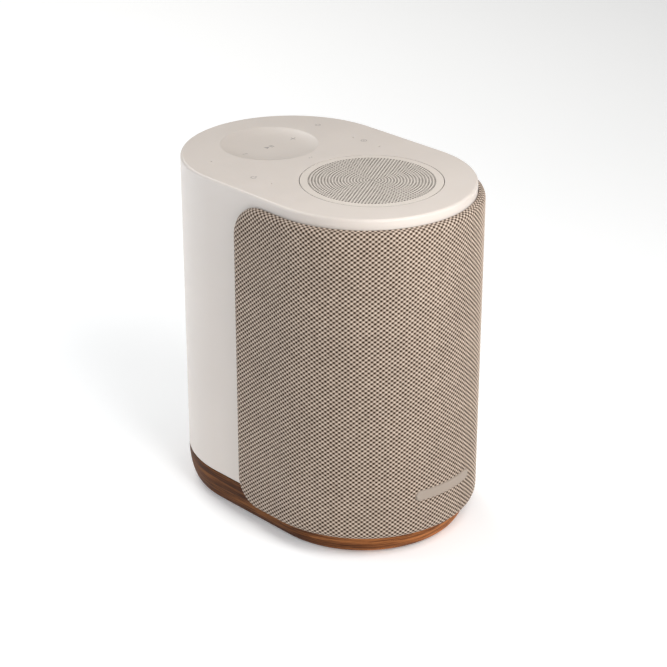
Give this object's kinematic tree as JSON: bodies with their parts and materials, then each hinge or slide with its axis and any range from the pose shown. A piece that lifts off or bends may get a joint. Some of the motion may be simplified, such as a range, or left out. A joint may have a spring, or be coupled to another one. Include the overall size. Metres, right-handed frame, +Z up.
{
  "type": "smart speaker",
  "caption": "Free-standing smart speaker: stadium-shaped white cabinet with a fabric front, wooden base, perforated top grille and a finger dish for touch control.",
  "frame": {"origin": "middle of the footprint, on the surface that the rubber foot rests on", "axes": "+Z up; the fabric front faces -Y and the terminals face +Y; +X is to the right of a person who faces the front from -Y"},
  "size_m": [0.122, 0.1728, 0.186],
  "materials": {
    "white_shell": "satin white moulded plastic with a very fine grain",
    "white_grille": "satin warm white paint on finely perforated metal",
    "beige_fabric": "open textured weave, light beige yarn over a dark brown ground",
    "badge": "satin taupe",
    "walnut": "oiled walnut, grain running level round the base",
    "dark_plastic": "fine spark-eroded black",
    "enclosure_plastic": "matt dark grey",
    "foot_rubber": "matt black",
    "soft_rubber": "matt black",
    "wadding": "loose off-white polyester wadding",
    "cone_paper": "matt black pressed paper",
    "spider_cloth": "resin-stiffened tan cloth",
    "silk_dome": "coated dark silk",
    "coil_copper": "enamelled copper winding",
    "magnet_ferrite": "dark sintered ferrite",
    "plated_steel": "zinc plated",
    "screw_steel": "black zinc plated",
    "aluminium": "extruded, bead blasted",
    "board_green": "green solder mask",
    "transformer_yellow": "yellow winding tape",
    "capacitor_sleeve": "dark blue shrink sleeve",
    "flex_film": "amber film",
    "wire_jacket": "red PVC jacket",
    "brass": "bright brass"
  },
  "bodies": {
    "cabinet": {"cabinet_shell": "white_shell", "top_grille": "white_grille", "front_grille_frame": "dark_plastic", "front_fabric": "beige_fabric", "front_badge": "badge", "wood_base": "walnut", "base_plate": "enclosure_plastic", "rubber_foot": "foot_rubber", "acoustic_enclosure": "enclosure_plastic", "damping_pad": "wadding", "wire_grommet": "soft_rubber", "tweeter_faceplate": "dark_plastic", "tweeter_magnet": "magnet_ferrite", "main_board": "board_green", "radio_shield": "plated_steel", "heat_sink": "aluminium", "power_supply_board": "board_green", "mains_transformer": "transformer_yellow", "bulk_capacitor": "capacitor_sleeve", "touch_board": "board_green", "touch_ribbon": "flex_film", "rear_terminal_plate": "dark_plastic", "ac_inlet": "dark_plastic", "inlet_pin_left": "brass", "inlet_pin_right": "brass", "io_board": "board_green", "aux_jack": "dark_plastic", "pairing_switch": "dark_plastic", "woofer_lead": "wire_jacket", "tweeter_lead": "wire_jacket", "top_driver_lead": "wire_jacket", "mains_lead": "wire_jacket", "base_screw_1": "screw_steel", "woofer_screw_1": "screw_steel", "base_screw_2": "screw_steel", "woofer_screw_2": "screw_steel", "base_screw_3": "screw_steel", "woofer_screw_3": "screw_steel", "base_screw_4": "screw_steel", "woofer_screw_4": "screw_steel", "woofer_basket": "dark_plastic", "woofer_magnet": "magnet_ferrite", "woofer_yoke": "plated_steel", "woofer_spider": "spider_cloth", "woofer_surround": "soft_rubber", "top_driver_basket": "dark_plastic", "top_driver_magnet": "magnet_ferrite", "top_driver_yoke": "plated_steel", "top_driver_spider": "spider_cloth", "top_driver_surround": "soft_rubber"},
    "woofer_diaphragm": {"woofer_cone": "cone_paper", "woofer_dust_cap": "cone_paper", "woofer_voice_coil": "coil_copper"},
    "tweeter_diaphragm": {"tweeter_dome": "silk_dome", "tweeter_voice_coil": "coil_copper"},
    "top_driver_diaphragm": {"top_driver_cone": "cone_paper", "top_driver_dust_cap": "cone_paper", "top_driver_voice_coil": "coil_copper"},
    "pairing_button": {"pairing_button": "dark_plastic"}
  },
  "joints": [
    {"name": "woofer_excursion", "type": "slide", "parent": "cabinet", "child": "woofer_diaphragm", "axis": [0, -1, 0], "range_m": [-0.004, 0.004], "stiffness_N_per_m": 1200},
    {"name": "tweeter_excursion", "type": "slide", "parent": "cabinet", "child": "tweeter_diaphragm", "axis": [0, -1, 0], "range_m": [-0.0003, 0.0003], "stiffness_N_per_m": 3000},
    {"name": "top_driver_excursion", "type": "slide", "parent": "cabinet", "child": "top_driver_diaphragm", "axis": [0, 0, 1], "range_m": [-0.002, 0.002], "stiffness_N_per_m": 1500},
    {"name": "pairing_button_press", "type": "slide", "parent": "cabinet", "child": "pairing_button", "axis": [0, -1, 0], "range_m": [0, 0.0008], "stiffness_N_per_m": 900}
  ]
}
